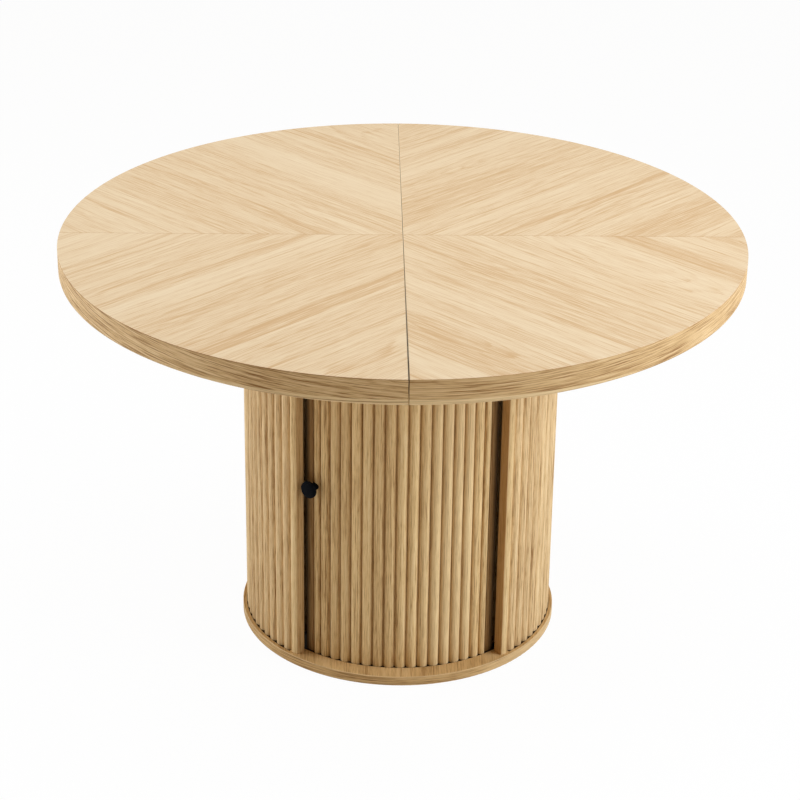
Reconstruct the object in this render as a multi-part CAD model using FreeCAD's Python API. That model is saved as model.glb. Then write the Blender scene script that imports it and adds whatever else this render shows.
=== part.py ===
# Round kitchen table on a fluted drum pedestal that is a storage cabinet with a curved sliding door.
# Millimetres, +Z up, front towards -Y. The origin is on the floor, under the middle of the table.
import FreeCAD, Part
import math
import os

from FreeCAD import Vector

# Overall sizes
TABLE_HEIGHT = 745.0
TOP_DIAMETER = 1200.0
BASE_DIAMETER = 580.0
BASE_LEDGE = 7.5

# Tabletop
SLAB_THICKNESS = 32.2
VENEER_THICKNESS = 0.8
UNDER_BOARD_THICKNESS = 12.0
UNDER_BOARD_SETBACK = 0.5
UNDER_BOARD_ROUND = 6.0
ROUND_LIMIT_SHARE = 0.9
EDGE_BAND_THICKNESS = 1.0
SEAM_GAP = 1.6
VENEER_JOINT_GAP = 0.2

# Dowels and plates across the seam
DOWEL_DIAMETER = 10.0
DOWEL_LENGTH = 40.0
DOWEL_CLEARANCE = 0.1
DOWEL_END_CLEARANCE = 1.0
DOWEL_PLACE_SHARES = (-0.75, -0.3, 0.3, 0.75)
JOINING_PLATE_LENGTH = 120.0
JOINING_PLATE_WIDTH = 40.0
JOINING_PLATE_THICKNESS = 3.0
JOINING_SCREW_EDGE_X = 14.0
JOINING_SCREW_EDGE_Y = 11.0
JOINING_SCREW_DIAMETER = 4.0
JOINING_SCREW_LENGTH = 18.0
JOINING_SCREW_HEAD_DIAMETER = 8.0
JOINING_SCREW_HEAD_HEIGHT = 2.6

# Bolts that hold the top on the pedestal, and their inserts
BOLT_DIAMETER = 6.0
BOLT_LENGTH = 30.0
BOLT_HEAD_DIAMETER = 13.0
BOLT_HEAD_HEIGHT = 3.6
BOLT_SIDE_DISTANCE = 50.0
BOLT_FRONT_DISTANCE = 60.0
INSERT_DIAMETER = 9.0
INSERT_LENGTH = 15.0
THREAD_CLEARANCE = 0.05
BOLT_HOLE_CLEARANCE = 0.3

# Base plate, top plate and pads
BASE_PLATE_THICKNESS = 17.5
TOP_PLATE_THICKNESS = 18.0
PLATE_EDGE_ROUND = 0.8
PAD_THICKNESS = 1.5
PAD_DIAMETER = 30.0
PAD_EDGE_DISTANCE = 20.0
PAD_COUNT = 8

# Drum shell
OPENING_HALF_ANGLE = 40.4
POST_WIDTH = 20.1
POST_DEPTH = 18.0
POST_END_DROP = 1.5
POST_CROWN_RISE = 1.0
SHELL_PANEL_COUNT = 3
SHELL_BACKING_THICKNESS = 6.0
SHELL_GROOVE_DEPTH = 5.0
SHELL_GROOVE_CLEARANCE = 0.9
SHELL_PANEL_JOINT_GAP = 0.4
SHELL_SLAT_PITCH = 20.7
SLAT_DEPTH = 7.5
SLAT_SIDE_HEIGHT = 0.8
SLAT_GAP = 0.6
UPRIGHT_DEPTH = 18.0
UPRIGHT_WIDTH = 38.0

# Cabinet inside the drum
SIDE_PANEL_REVEAL = 5.0
CABINET_DOOR_CLEARANCE = 8.0
SIDE_PANEL_THICKNESS = 15.0
BACK_PANEL_THICKNESS = 9.0
SHELF_THICKNESS = 15.0
SHELF_TOP_HEIGHT = 358.0
SHELF_CLEARANCE = 0.5
SHELF_FRONT_SETBACK = 12.0
PIN_DIAMETER = 5.0
PIN_HOLE_DEPTH = 9.0
PIN_REACH = 9.0
PIN_CLEARANCE = 0.05
PIN_EDGE_DISTANCE = 55.0

# Screws of the carcass
SCREW_DIAMETER = 5.0
SCREW_LENGTH = 50.0
SCREW_HEAD_DIAMETER = 9.0
SCREW_HEAD_HEIGHT = 3.0
SCREW_CLEARANCE = 0.05
SIDE_SCREW_EDGE_DISTANCE = 50.0
BACK_SCREW_EDGE_DISTANCE = 80.0

# Sliding door
DOOR_RUNNING_GAP = 6.5
DOOR_BACKING_THICKNESS = 5.0
DOOR_END_GAP = 2.0
DOOR_GROOVE_DEPTH = 4.0
DOOR_GROOVE_CLEARANCE = 0.9
DOOR_LAP = 3.5
DOOR_STILE_WIDTH = 17.2
DOOR_STILE_JOINT_GAP = 1.2
DOOR_STILE_THICKNESS = 3.0
DOOR_SLAT_PITCH = 19.85
DOOR_END_SLAT_SHARE = 0.7

# Tracks, glides and stops of the door
TRACK_DEPTH = 7.0
TRACK_WALL = 1.2
TRACK_SIDE_CLEARANCE = 0.5
TRACK_FLOOR_CLEARANCE = 0.3
TRACK_OVERRUN = 6.0
GLIDE_LENGTH = 26.0
GLIDE_FLANGE_THICKNESS = 3.0
GLIDE_FLANGE_HEIGHT = 24.0
GLIDE_WEB_CLEARANCE = 0.4
GLIDE_END_DISTANCE = 30.0
STOP_LENGTH = 9.0
STOP_HEIGHT = 32.0
STOP_CLEARANCE = 0.3

# Knob
KNOB_HEIGHT = 357.0
KNOB_DIAMETER = 31.0
KNOB_FACE_DIAMETER = 24.0
KNOB_NECK_DIAMETER = 12.5
KNOB_FOOT_DIAMETER = 14.0
KNOB_LENGTH = 27.0
KNOB_FOOT_THICKNESS = 3.0
KNOB_RIM_THICKNESS = 8.0
KNOB_FACE_CROWN = 1.5
KNOB_POST_CLEARANCE = 5.6
KNOB_SEAT_CLEARANCE = 0.3
KNOB_SCREW_DIAMETER = 4.0
KNOB_SCREW_DEPTH = 9.0
KNOB_SCREW_HEAD_DIAMETER = 8.0
KNOB_SCREW_HEAD_HEIGHT = 2.4
KNOB_SCREW_RECESS = 1.0

# One overrun serves every cut
CUT_OVERRUN = 5.0

# Heights of the layers
slab_top = TABLE_HEIGHT - VENEER_THICKNESS
slab_bottom = slab_top - SLAB_THICKNESS
top_underside = slab_bottom - UNDER_BOARD_THICKNESS
carcass_top = top_underside - TOP_PLATE_THICKNESS
carcass_bottom = PAD_THICKNESS + BASE_PLATE_THICKNESS
shell_bottom = carcass_bottom - SHELL_GROOVE_DEPTH
door_floor = carcass_bottom - DOOR_GROOVE_DEPTH
door_bottom = door_floor + DOOR_END_GAP
door_top = carcass_top - DOOR_END_GAP

# Radii, from the outside in
top_radius = TOP_DIAMETER / 2
plate_radius = BASE_DIAMETER / 2
drum_radius = plate_radius - BASE_LEDGE
shell_outer = drum_radius - SLAT_DEPTH
shell_inner = shell_outer - SHELL_BACKING_THICKNESS
post_inner = drum_radius - POST_DEPTH
door_crest = post_inner - DOOR_RUNNING_GAP
door_outer = door_crest - SLAT_DEPTH
door_inner = door_outer - DOOR_BACKING_THICKNESS
track_inner = door_inner - TRACK_SIDE_CLEARANCE - TRACK_WALL
track_outer = door_outer + TRACK_SIDE_CLEARANCE + TRACK_WALL
glide_inner = door_inner - GLIDE_FLANGE_THICKNESS

# Cabinet: side panels in line with the opening, as deep as the turning door leaves room for
cabinet_half_width = post_inner * math.sin(math.radians(OPENING_HALF_ANGLE)) - SIDE_PANEL_REVEAL
cabinet_corner = glide_inner - CABINET_DOOR_CLEARANCE
cabinet_half_depth = math.sqrt(cabinet_corner**2 - (cabinet_half_width + SIDE_PANEL_THICKNESS) ** 2)


def arc_angle(length, radius):
    """Angle in degrees that an arc of this length spans at this radius."""
    return math.degrees(length / radius)


# Angles, counted from the front towards the right
post_angle = arc_angle(POST_WIDTH, drum_radius)
panel_start = OPENING_HALF_ANGLE + post_angle
panel_angle = (360 - 2 * panel_start) / SHELL_PANEL_COUNT
door_leading = -OPENING_HALF_ANGLE - arc_angle(DOOR_LAP, door_outer)
stile_angle = arc_angle(DOOR_STILE_WIDTH, door_outer)
slats_start = door_leading + stile_angle
stile_end = slats_start - arc_angle(DOOR_STILE_JOINT_GAP, door_outer)
door_trailing = -door_leading
knob_seat = door_outer + DOOR_STILE_THICKNESS
knob_tip = knob_seat + KNOB_LENGTH
screw_seat = door_inner + KNOB_SCREW_RECESS
knob_angle = -OPENING_HALF_ANGLE + arc_angle(KNOB_DIAMETER / 2 + KNOB_POST_CLEARANCE, knob_tip)
door_travel = -2 * knob_angle


def polar(radius, angle, height=0):
    """Point at a radius and height, at an angle from the front (-Y) towards the right (+X)."""
    turn = math.radians(angle)
    return Vector(radius * math.sin(turn), -radius * math.cos(turn), height)


def prism(edges, low, high):
    """Solid between two heights over a closed outline of edges."""
    face = Part.Face(Part.Wire(edges))
    return face.extrude(Vector(0, 0, high - low)).translated(Vector(0, 0, low))


def arc_edge(first, middle, last):
    return Part.Arc(first, middle, last).toShape()


def disc(radius, low, high, x=0, y=0):
    return Part.makeCylinder(radius, high - low, Vector(x, y, low))


def block(low_corner, high_corner):
    size = high_corner - low_corner
    return Part.makeBox(size.x, size.y, size.z, low_corner)


def rod(radius, start, end):
    """Cylinder between two points."""
    line = end - start
    return Part.makeCylinder(radius, line.Length, start, line)


def sector(inner, outer, start, end, low, high):
    """Curved wall between two radii, two angles and two heights."""
    middle = (start + end) / 2
    edges = [
        arc_edge(polar(outer, start), polar(outer, middle), polar(outer, end)),
        Part.makeLine(polar(outer, end), polar(inner, end)),
        arc_edge(polar(inner, end), polar(inner, middle), polar(inner, start)),
        Part.makeLine(polar(inner, start), polar(outer, start)),
    ]
    return prism(edges, low, high)


def crowned_sector(inner, side_start, crown, side_end, start, end, low, high):
    """Curved wall whose outer face is one arc, from one side's radius over a crown to the other side's."""
    middle = (start + end) / 2
    edges = [
        arc_edge(polar(side_start, start), polar(crown, middle), polar(side_end, end)),
        Part.makeLine(polar(side_end, end), polar(inner, end)),
        arc_edge(polar(inner, end), polar(inner, middle), polar(inner, start)),
        Part.makeLine(polar(inner, start), polar(side_start, start)),
    ]
    return prism(edges, low, high)


def turned(outline, axis_start, axis_direction):
    """Solid turned from an outline of edges about an axis."""
    return Part.Face(Part.Wire(outline)).revolve(axis_start, axis_direction, 360)


def half(shape, side):
    """The part of a tabletop layer on one side of the seam: side is -1 for left and 1 for right."""
    reach = top_radius + CUT_OVERRUN
    box = Part.makeBox(reach, 2 * reach, TABLE_HEIGHT + CUT_OVERRUN, Vector(SEAM_GAP / 2, -reach, 0))
    if side < 0:
        box = box.mirror(Vector(0, 0, 0), Vector(1, 0, 0))
    return shape.common(box)


def quarter(shape, side, rear):
    """The part of a half in front of the cross joint, with rear as -1, or behind it, with rear as 1."""
    reach = top_radius + CUT_OVERRUN
    corner = Vector(-reach, VENEER_JOINT_GAP / 2, 0)
    box = Part.makeBox(2 * reach, reach, TABLE_HEIGHT + CUT_OVERRUN, corner)
    if rear < 0:
        box = box.mirror(Vector(0, 0, 0), Vector(0, 1, 0))
    return half(shape, side).common(box)


def save(name, *solids):
    shape = solids[0] if len(solids) == 1 else Part.makeCompound(list(solids))
    shape.exportStep("parts/" + name + ".step")


# Places of the fasteners
side_panel_middle = cabinet_half_width + SIDE_PANEL_THICKNESS / 2
side_screw_y = cabinet_half_depth - SIDE_SCREW_EDGE_DISTANCE
back_screw_x = cabinet_half_width - BACK_SCREW_EDGE_DISTANCE
back_panel_middle = cabinet_half_depth - BACK_PANEL_THICKNESS / 2
bolt_column = cabinet_half_width - BOLT_SIDE_DISTANCE
bolt_row = cabinet_half_depth - BOLT_FRONT_DISTANCE
post_middle_radius = (post_inner + drum_radius) / 2
upright_middle_radius = shell_inner - UPRIGHT_DEPTH / 2
rear_joint = panel_start + panel_angle
sides = {"left": -1, "right": 1}

bolt_places = [
    Vector(side * bolt_column, row * bolt_row, 0)
    for side in sides.values()
    for row in (-1, 0, 1)
]
carcass_screw_places = []
for side in sides.values():
    carcass_screw_places += [
        Vector(side * side_panel_middle, -side_screw_y, 0),
        Vector(side * side_panel_middle, side_screw_y, 0),
        Vector(side * back_screw_x, back_panel_middle, 0),
        polar(post_middle_radius, side * (OPENING_HALF_ANGLE + post_angle / 2)),
        polar(upright_middle_radius, side * rear_joint),
    ]


def carcass_screw(place, head_height, direction, clearance=0):
    """Countersunk screw with its head flush at a height, pointing up (1) or down (-1)."""
    shank = SCREW_DIAMETER / 2 + clearance
    head = SCREW_HEAD_DIAMETER / 2 + clearance
    tip = head_height + direction * (SCREW_LENGTH + clearance)
    neck = head_height + direction * SCREW_HEAD_HEIGHT
    corners = [
        place + Vector(0, 0, head_height),
        place + Vector(head, 0, head_height),
        place + Vector(shank, 0, neck),
        place + Vector(shank, 0, tip),
        place + Vector(0, 0, tip),
    ]
    outline = [Part.makeLine(a, b) for a, b in zip(corners, corners[1:] + corners[:1])]
    return turned(outline, place, Vector(0, 0, 1))


def screws_and_holes(clearance):
    """The two sets of carcass screws, from below and from above, or with a clearance their holes."""
    base_set = [carcass_screw(place, PAD_THICKNESS, 1, clearance) for place in carcass_screw_places]
    top_set = [carcass_screw(place, top_underside, -1, clearance) for place in carcass_screw_places]
    return base_set, top_set


base_screws, top_plate_screws = screws_and_holes(0)
base_holes, top_plate_holes = screws_and_holes(SCREW_CLEARANCE)
carcass_holes = Part.makeCompound(base_holes + top_plate_holes)


def seam_dowel(place_share, clearance=0, end_clearance=0):
    """Dowel across the seam, at a share of the table's radius from front to back."""
    reach = DOWEL_LENGTH / 2 + end_clearance
    middle = Vector(0, place_share * top_radius, (slab_bottom + slab_top) / 2)
    along = Vector(reach, 0, 0)
    return rod(DOWEL_DIAMETER / 2 + clearance, middle - along, middle + along)


def joining_screw(place, clearance=0):
    """Pan-head screw that comes up through a joining plate."""
    seat = top_underside - JOINING_PLATE_THICKNESS
    tip = seat + JOINING_SCREW_LENGTH
    head_bottom = seat - JOINING_SCREW_HEAD_HEIGHT
    shank = disc(JOINING_SCREW_DIAMETER / 2 + clearance, seat, tip, place.x, place.y)
    head = disc(JOINING_SCREW_HEAD_DIAMETER / 2, head_bottom, seat, place.x, place.y)
    return shank.fuse(head).removeSplitter()


def make_tabletop():
    dowel_holes = [seam_dowel(share, DOWEL_CLEARANCE, DOWEL_END_CLEARANCE) for share in DOWEL_PLACE_SHARES]
    plate_middle = (plate_radius + top_radius) / 2
    screw_x = JOINING_PLATE_LENGTH / 2 - JOINING_SCREW_EDGE_X
    screw_y = JOINING_PLATE_WIDTH / 2 - JOINING_SCREW_EDGE_Y
    joining_places = [
        Vector(x * screw_x, front * plate_middle + y * screw_y, 0)
        for front in (-1, 1)
        for x in (-1, 1)
        for y in (-1, 1)
    ]
    joining_holes = [joining_screw(place, SCREW_CLEARANCE) for place in joining_places]
    insert_top = top_underside + INSERT_LENGTH
    insert_hole_radius = INSERT_DIAMETER / 2 + THREAD_CLEARANCE
    insert_holes = [
        disc(insert_hole_radius, top_underside, insert_top, place.x, place.y) for place in bolt_places
    ]
    bolt_tips = [bolt(place, THREAD_CLEARANCE) for place in bolt_places]
    drilled = Part.makeCompound(joining_holes + insert_holes + bolt_tips)

    slab = disc(top_radius - EDGE_BAND_THICKNESS, slab_bottom, slab_top)
    slab = slab.cut(Part.makeCompound(dowel_holes)).cut(drilled)
    under_board = disc(top_radius - UNDER_BOARD_SETBACK, top_underside, slab_bottom)
    lower_edge = [edge for edge in under_board.Edges if edge.BoundBox.ZMax < slab_bottom and edge.Closed]
    lower_round = min(UNDER_BOARD_ROUND, UNDER_BOARD_THICKNESS * ROUND_LIMIT_SHARE)
    under_board = under_board.makeFillet(lower_round, lower_edge).cut(drilled)
    band = disc(top_radius, slab_bottom, slab_top)
    band = band.cut(disc(top_radius - EDGE_BAND_THICKNESS, slab_bottom, slab_top))
    veneer = disc(top_radius, slab_top, TABLE_HEIGHT)
    for name, side in sides.items():
        save("top_slab_" + name, half(slab, side))
        save("under_board_" + name, half(under_board, side))
        save("top_edge_band_" + name, half(band, side))
        save("top_veneer_front_" + name, quarter(veneer, side, -1))
        save("top_veneer_rear_" + name, quarter(veneer, side, 1))
    save("seam_dowels", *[seam_dowel(share) for share in DOWEL_PLACE_SHARES])

    plates = []
    for front in (-1, 1):
        corner = Vector(JOINING_PLATE_LENGTH / 2, JOINING_PLATE_WIDTH / 2, 0)
        middle = Vector(0, front * plate_middle, top_underside - JOINING_PLATE_THICKNESS)
        plate = block(middle - corner, middle + corner + Vector(0, 0, JOINING_PLATE_THICKNESS))
        plates.append(plate.cut(Part.makeCompound(joining_holes)))
    save("joining_plates", *plates)
    save("joining_screws", *[joining_screw(place) for place in joining_places])


def bolt(place, clearance=0):
    """Bolt that comes up through the top plate into an insert in the tabletop."""
    tip = carcass_top + BOLT_LENGTH + clearance
    shank = disc(BOLT_DIAMETER / 2 + clearance, carcass_top, tip, place.x, place.y)
    head = disc(BOLT_HEAD_DIAMETER / 2, carcass_top - BOLT_HEAD_HEIGHT, carcass_top, place.x, place.y)
    return shank.fuse(head).removeSplitter()


def make_bolts():
    save("pedestal_bolts", *[bolt(place) for place in bolt_places])
    inserts = []
    for place in bolt_places:
        sleeve = disc(INSERT_DIAMETER / 2, top_underside, top_underside + INSERT_LENGTH, place.x, place.y)
        inserts.append(sleeve.cut(bolt(place, THREAD_CLEARANCE)))
    save("threaded_inserts", *inserts)


def track_ends():
    """Angles at which the tracks begin and end: the door's ends over its whole travel, and an overrun."""
    overrun = arc_angle(TRACK_OVERRUN, door_outer)
    return door_leading - overrun, door_trailing + door_travel + overrun


def stop_spans():
    """Angles at which each stop begins and ends, just past the door's ends when it is closed and open."""
    length = arc_angle(STOP_LENGTH, door_outer)
    gap = arc_angle(STOP_CLEARANCE, door_outer)
    closed_end = door_leading - gap
    open_start = door_trailing + door_travel + gap
    return {
        "closed_stop": (closed_end - length, closed_end),
        "open_stop": (open_start, open_start + length),
    }


def door_groove():
    """Groove in the base plate that takes the door's lower edge and its stops, over the whole travel."""
    end_gap = arc_angle(DOOR_GROOVE_CLEARANCE, door_outer)
    spans = stop_spans()
    return sector(
        glide_inner - DOOR_GROOVE_CLEARANCE, door_crest + DOOR_GROOVE_CLEARANCE,
        spans["closed_stop"][0] - end_gap, spans["open_stop"][1] + end_gap,
        door_floor, carcass_bottom + CUT_OVERRUN,
    )


def make_plates():
    start, end = track_ends()
    band_inner = plate_radius - EDGE_BAND_THICKNESS
    groove_floor = door_floor - TRACK_DEPTH
    groove_roof = carcass_top + TRACK_DEPTH
    track_groove = sector(track_inner, track_outer, start, end, groove_floor, carcass_bottom)
    shell_groove = sector(
        shell_inner - SHELL_GROOVE_CLEARANCE, drum_radius + SHELL_GROOVE_CLEARANCE,
        panel_start, 360 - panel_start, shell_bottom, carcass_bottom + CUT_OVERRUN,
    )
    base = disc(band_inner, PAD_THICKNESS, carcass_bottom).cut(shell_groove)
    base = base.cut(door_groove()).cut(track_groove)
    save("base_plate", base.cut(Part.makeCompound(base_holes)))

    top_groove = sector(track_inner, track_outer, start, end, carcass_top - CUT_OVERRUN, groove_roof)
    bolt_holes = [
        disc(BOLT_DIAMETER / 2 + BOLT_HOLE_CLEARANCE, carcass_top, top_underside, place.x, place.y)
        for place in bolt_places
    ]
    top = disc(band_inner, carcass_top, top_underside).cut(top_groove)
    save("top_plate", top.cut(Part.makeCompound(top_plate_holes + bolt_holes)))

    edge_round = min(PLATE_EDGE_ROUND, EDGE_BAND_THICKNESS * ROUND_LIMIT_SHARE)
    layers = {
        "base_edge_band": (PAD_THICKNESS, carcass_bottom),
        "top_plate_edge_band": (carcass_top, top_underside),
    }
    for name, (low, high) in layers.items():
        rim = disc(plate_radius, low, high)
        rim = rim.makeFillet(edge_round, [edge for edge in rim.Edges if edge.BoundBox.ZLength < edge_round])
        save(name, rim.cut(disc(band_inner, low - CUT_OVERRUN, high + CUT_OVERRUN)))

    pad_ring = plate_radius - PAD_EDGE_DISTANCE - PAD_DIAMETER / 2
    pad_places = [polar(pad_ring, 360 * (index + 1 / 2) / PAD_COUNT) for index in range(PAD_COUNT)]
    pads = [disc(PAD_DIAMETER / 2, 0, PAD_THICKNESS, place.x, place.y) for place in pad_places]
    save("floor_pads", *pads)


def channel(low, high, floor_low, floor_high):
    """Curved channel with two walls and a floor."""
    start, end = track_ends()
    walls = sector(track_inner, track_outer, start, end, low, high)
    hollow = sector(track_inner + TRACK_WALL, track_outer - TRACK_WALL, start, end, low, high)
    floor = sector(track_inner, track_outer, start, end, floor_low, floor_high)
    return walls.cut(hollow).fuse(floor).removeSplitter()


def make_tracks():
    low = door_floor - TRACK_DEPTH
    save("lower_track", channel(low, door_floor, low, low + TRACK_WALL))
    high = carcass_top + TRACK_DEPTH
    save("upper_track", channel(carcass_top, high, high - TRACK_WALL, high))


def make_stops():
    for name, (start, end) in stop_spans().items():
        save(name, sector(door_inner, door_crest, start, end, door_floor, door_floor + STOP_HEIGHT))


def slat_row(back, joints, low, high):
    """Half-round slats on a curved backing, from joint to joint, with a narrow gap at each."""
    gap = arc_angle(SLAT_GAP / 2, back)
    side = back + SLAT_SIDE_HEIGHT
    return [
        crowned_sector(back, side, back + SLAT_DEPTH, side, start + gap, end - gap, low, high)
        for start, end in zip(joints, joints[1:])
    ]


def make_shell():
    slat_count = round(panel_angle / arc_angle(SHELL_SLAT_PITCH, shell_outer))
    slat_pitch = panel_angle / slat_count
    joint = arc_angle(SHELL_PANEL_JOINT_GAP / 2, shell_inner)
    for index, name in enumerate(("right", "back", "left")):
        start = panel_start + index * panel_angle
        panel = sector(
            shell_inner, shell_outer, start + joint, start + panel_angle - joint, shell_bottom, carcass_top,
        )
        save("shell_panel_" + name, panel)
        joints = [start + index * slat_pitch for index in range(slat_count + 1)]
        save("shell_slats_" + name, *slat_row(shell_outer, joints, shell_bottom, carcass_top))

    crown = drum_radius + POST_CROWN_RISE
    opening_side = drum_radius - POST_END_DROP
    slat_side = shell_outer + SLAT_SIDE_HEIGHT
    right = crowned_sector(
        post_inner, opening_side, crown, slat_side,
        OPENING_HALF_ANGLE, panel_start, carcass_bottom, carcass_top,
    )
    left = crowned_sector(
        post_inner, slat_side, crown, opening_side,
        -panel_start, -OPENING_HALF_ANGLE, carcass_bottom, carcass_top,
    )
    save("post_right", right.cut(carcass_holes))
    save("post_left", left.cut(carcass_holes))

    half_width = arc_angle(UPRIGHT_WIDTH / 2, shell_inner)
    for name, side in sides.items():
        middle = side * rear_joint
        upright = sector(
            shell_inner - UPRIGHT_DEPTH, shell_inner, middle - half_width, middle + half_width,
            carcass_bottom, carcass_top,
        )
        save("rear_upright_" + name, upright.cut(carcass_holes))


def shelf_pin(side, front, clearance=0):
    """Pin in a side panel under the shelf."""
    y = front * (cabinet_half_depth - PIN_EDGE_DISTANCE)
    z = SHELF_TOP_HEIGHT - SHELF_THICKNESS - PIN_DIAMETER / 2
    inner = Vector(side * (cabinet_half_width - PIN_REACH), y, z)
    outer = Vector(side * (cabinet_half_width + PIN_HOLE_DEPTH + clearance), y, z)
    return rod(PIN_DIAMETER / 2 + clearance, inner, outer)


def make_cabinet():
    pin_corners = [(side, front) for side in sides.values() for front in (-1, 1)]
    pin_holes = Part.makeCompound([shelf_pin(side, front, PIN_CLEARANCE) for side, front in pin_corners])
    for name, side in sides.items():
        low = Vector(cabinet_half_width, -cabinet_half_depth, carcass_bottom)
        high = Vector(cabinet_half_width + SIDE_PANEL_THICKNESS, cabinet_half_depth, carcass_top)
        panel = block(low, high)
        if side < 0:
            panel = panel.mirror(Vector(0, 0, 0), Vector(1, 0, 0))
        save("side_panel_" + name, panel.cut(pin_holes).cut(carcass_holes))

    back_front = cabinet_half_depth - BACK_PANEL_THICKNESS
    back = block(
        Vector(-cabinet_half_width, back_front, carcass_bottom),
        Vector(cabinet_half_width, cabinet_half_depth, carcass_top),
    )
    save("back_panel", back.cut(carcass_holes))

    shelf_half = cabinet_half_width - SHELF_CLEARANCE
    shelf = block(
        Vector(-shelf_half, -cabinet_half_depth + SHELF_FRONT_SETBACK, SHELF_TOP_HEIGHT - SHELF_THICKNESS),
        Vector(shelf_half, back_front - SHELF_CLEARANCE, SHELF_TOP_HEIGHT),
    )
    save("shelf", shelf)
    save("shelf_pins", *[shelf_pin(side, front) for side, front in pin_corners])
    save("base_screws", *base_screws)
    save("top_plate_screws", *top_plate_screws)


def along_knob(outline):
    """Solid turned about the knob's axis, from (distance from the seat, radius) points given as edges."""
    solid = turned(outline, Vector(0, 0, 0), Vector(1, 0, 0))
    solid.rotate(Vector(0, 0, 0), Vector(0, 0, 1), knob_angle - 90)
    return solid.translated(polar(knob_seat, knob_angle, KNOB_HEIGHT))


def knob_axis_rod(radius, start, end):
    """Cylinder on the knob's axis, between two distances from the drum's axis."""
    return rod(radius, polar(start, knob_angle, KNOB_HEIGHT), polar(end, knob_angle, KNOB_HEIGHT))


def knob_screw():
    """Screw from inside the door into the knob."""
    head = knob_axis_rod(KNOB_SCREW_HEAD_DIAMETER / 2, screw_seat - KNOB_SCREW_HEAD_HEIGHT, screw_seat)
    shank = knob_axis_rod(KNOB_SCREW_DIAMETER / 2, screw_seat, knob_seat + KNOB_SCREW_DEPTH)
    return head.fuse(shank).removeSplitter()


def knob_screw_hole():
    """Hole for that screw through the door and into the knob, with a flat recess for its head."""
    head_radius = KNOB_SCREW_HEAD_DIAMETER / 2 + SCREW_CLEARANCE
    head = knob_axis_rod(head_radius, door_inner - CUT_OVERRUN, screw_seat)
    shank_radius = KNOB_SCREW_DIAMETER / 2 + SCREW_CLEARANCE
    tip = knob_seat + KNOB_SCREW_DEPTH + SCREW_CLEARANCE
    return head.fuse(knob_axis_rod(shank_radius, door_inner, tip))


def make_knob():
    rim = KNOB_LENGTH - KNOB_RIM_THICKNESS
    neck_middle = (KNOB_FOOT_THICKNESS + rim) / 2
    foot = KNOB_FOOT_DIAMETER / 2
    cap = KNOB_DIAMETER / 2
    face = KNOB_FACE_DIAMETER / 2
    shoulder = KNOB_LENGTH - KNOB_RIM_THICKNESS / 2
    face_edge = KNOB_LENGTH - KNOB_FACE_CROWN
    outline = [
        Part.makeLine(Vector(0, 0, 0), Vector(0, foot, 0)),
        Part.makeLine(Vector(0, foot, 0), Vector(KNOB_FOOT_THICKNESS, foot, 0)),
        arc_edge(
            Vector(KNOB_FOOT_THICKNESS, foot, 0),
            Vector(neck_middle, KNOB_NECK_DIAMETER / 2, 0),
            Vector(rim, cap, 0),
        ),
        Part.makeLine(Vector(rim, cap, 0), Vector(shoulder, cap, 0)),
        Part.makeLine(Vector(shoulder, cap, 0), Vector(face_edge, face, 0)),
        Part.makeLine(Vector(face_edge, face, 0), Vector(KNOB_LENGTH, 0, 0)),
        Part.makeLine(Vector(KNOB_LENGTH, 0, 0), Vector(0, 0, 0)),
    ]
    save("knob", along_knob(outline).cut(knob_screw_hole()))
    save("knob_screw", knob_screw())


def lower_glide(angle):
    """Shoe on the door's lower edge: a tongue in the track, a web under the edge and a flange inside."""
    half_length = arc_angle(GLIDE_LENGTH / 2, door_outer)
    ends = (angle - half_length, angle + half_length)
    track_floor = door_floor - TRACK_DEPTH + TRACK_WALL
    web_bottom = door_floor + GLIDE_WEB_CLEARANCE
    tongue = sector(door_inner, door_outer, *ends, track_floor + TRACK_FLOOR_CLEARANCE, door_bottom)
    web = sector(glide_inner, door_outer, *ends, web_bottom, door_bottom)
    flange = sector(glide_inner, door_inner, *ends, web_bottom, door_bottom + GLIDE_FLANGE_HEIGHT)
    return tongue.fuse([web, flange]).removeSplitter()


def make_glides():
    """Three shoes along each edge of the door, the upper ones a mirror image of the lower ones."""
    end_angle = arc_angle(GLIDE_END_DISTANCE, door_outer)
    first, last = door_leading + end_angle, door_trailing - end_angle
    shoes = [lower_glide(angle) for angle in (first, (first + last) / 2, last)]
    middle = Vector(0, 0, (door_floor + carcass_top) / 2)
    save("door_lower_glides", *shoes)
    save("door_upper_guides", *[shoe.mirror(middle, Vector(0, 0, 1)) for shoe in shoes])


def door_slat_joints():
    """Angles of the joints between the door's slats: even ones, with a trimmed slat at both ends."""
    trimmed = 2 * DOOR_END_SLAT_SHARE
    whole_count = round(-2 * slats_start / arc_angle(DOOR_SLAT_PITCH, door_outer) - trimmed)
    pitch = -2 * slats_start / (whole_count + trimmed)
    inner_joints = [slats_start + (DOOR_END_SLAT_SHARE + index) * pitch for index in range(whole_count + 1)]
    return [slats_start] + inner_joints + [-slats_start]


def make_door():
    backing = sector(door_inner, door_outer, door_leading, door_trailing, door_bottom, door_top)
    screw_hole = knob_screw_hole()
    save("door_backing", backing.cut(screw_hole))
    seat = knob_axis_rod(KNOB_FOOT_DIAMETER / 2 + KNOB_SEAT_CLEARANCE, knob_seat, knob_tip)
    slats = slat_row(door_outer, door_slat_joints(), door_bottom, door_top)
    save("door_slats", *[slat.cut(seat).cut(screw_hole) for slat in slats])
    leading_stile = sector(door_outer, knob_seat, door_leading, stile_end, door_bottom, door_top)
    trailing_stile = sector(door_outer, knob_seat, -stile_end, door_trailing, door_bottom, door_top)
    save("door_leading_stile", leading_stile.cut(screw_hole))
    save("door_trailing_stile", trailing_stile)


os.makedirs("parts", exist_ok=True)
make_tabletop()
make_bolts()
make_plates()
make_tracks()
make_stops()
make_shell()
make_cabinet()
make_door()
make_glides()
make_knob()
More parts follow.
